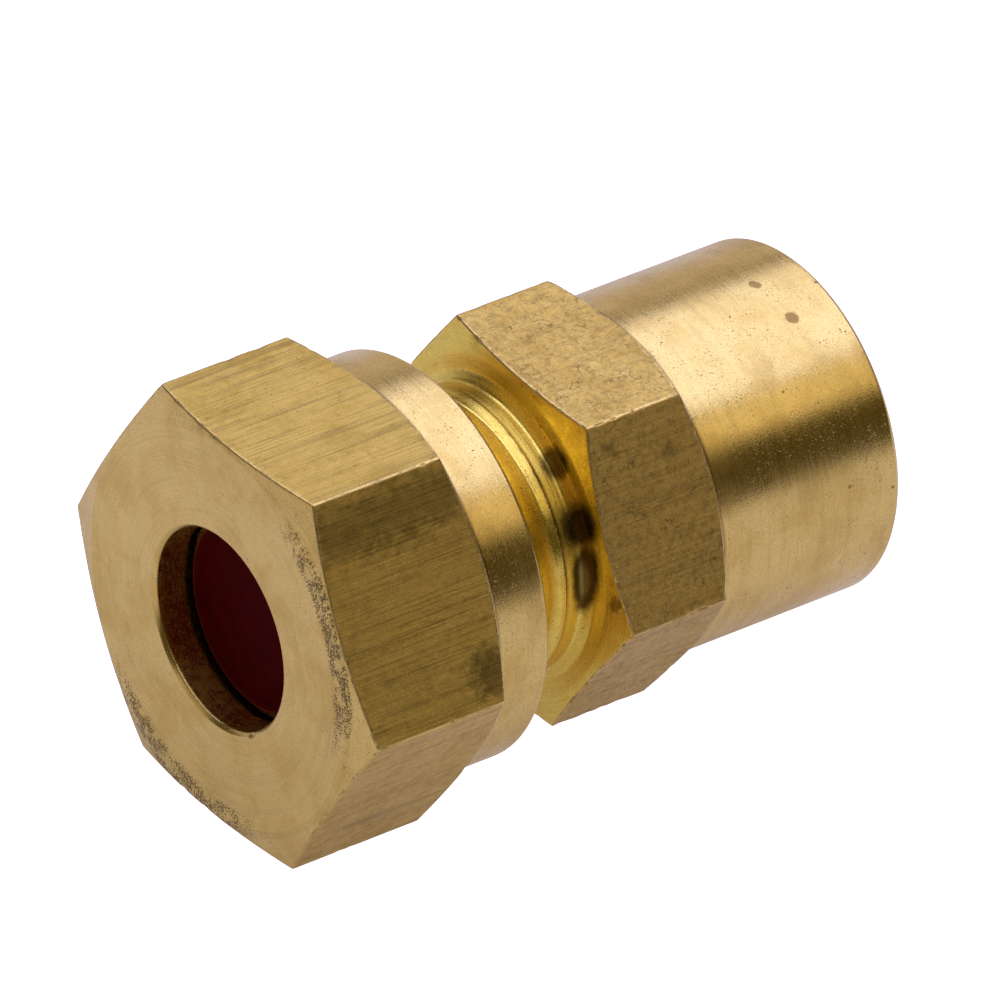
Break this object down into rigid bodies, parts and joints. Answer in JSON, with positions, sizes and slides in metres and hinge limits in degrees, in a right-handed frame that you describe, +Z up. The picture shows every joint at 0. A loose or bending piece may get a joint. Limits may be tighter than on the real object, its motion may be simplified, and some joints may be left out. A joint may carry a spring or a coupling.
{
  "type": "compression fitting",
  "caption": "Straight brass compression adapter with a hexagonal nut, an olive and a female threaded socket; it joins a plain tube to a threaded pipe.",
  "frame": {"origin": "under the middle of the fitting's length, on the plane of the nut's lower flat", "axes": "+X along the fitting's axis from the nut towards the threaded socket, +Z up, with the nut's flats at the top and bottom"},
  "size_m": [0.0342, 0.0242, 0.021],
  "materials": {
    "body_brass": "machined, satin, with fine turning lines and light handling marks",
    "nut_brass": "drawn hexagon bar, turned collar, light tarnish",
    "olive_brass": "smooth turned",
    "plug_plastic": "satin moulded polyethylene"
  },
  "bodies": {
    "body": {"fitting_body": "body_brass"},
    "olive_carrier": {"olive": "olive_brass"},
    "nut": {"compression_nut": "nut_brass"},
    "plug": {"transit_plug": "plug_plastic"}
  },
  "joints": [
    {"name": "olive_travel", "type": "slide", "parent": "body", "child": "olive_carrier", "axis": [1, 0, 0], "range_m": [-0.00375, 0.00038]},
    {"name": "nut_turn", "type": "hinge", "parent": "olive_carrier", "child": "nut", "pos_m": [-0.0171, 0, 0.0105], "axis": [1, 0, 0], "range_deg": [-900, 90]},
    {"name": "plug_pull", "type": "slide", "parent": "olive_carrier", "child": "plug", "axis": [1, 0, 0], "range_m": [-0.0125, 0]}
  ],
  "couplings": [
    {"joint": "olive_travel", "follows": "nut_turn", "m_per_rad": 0.00023873}
  ]
}
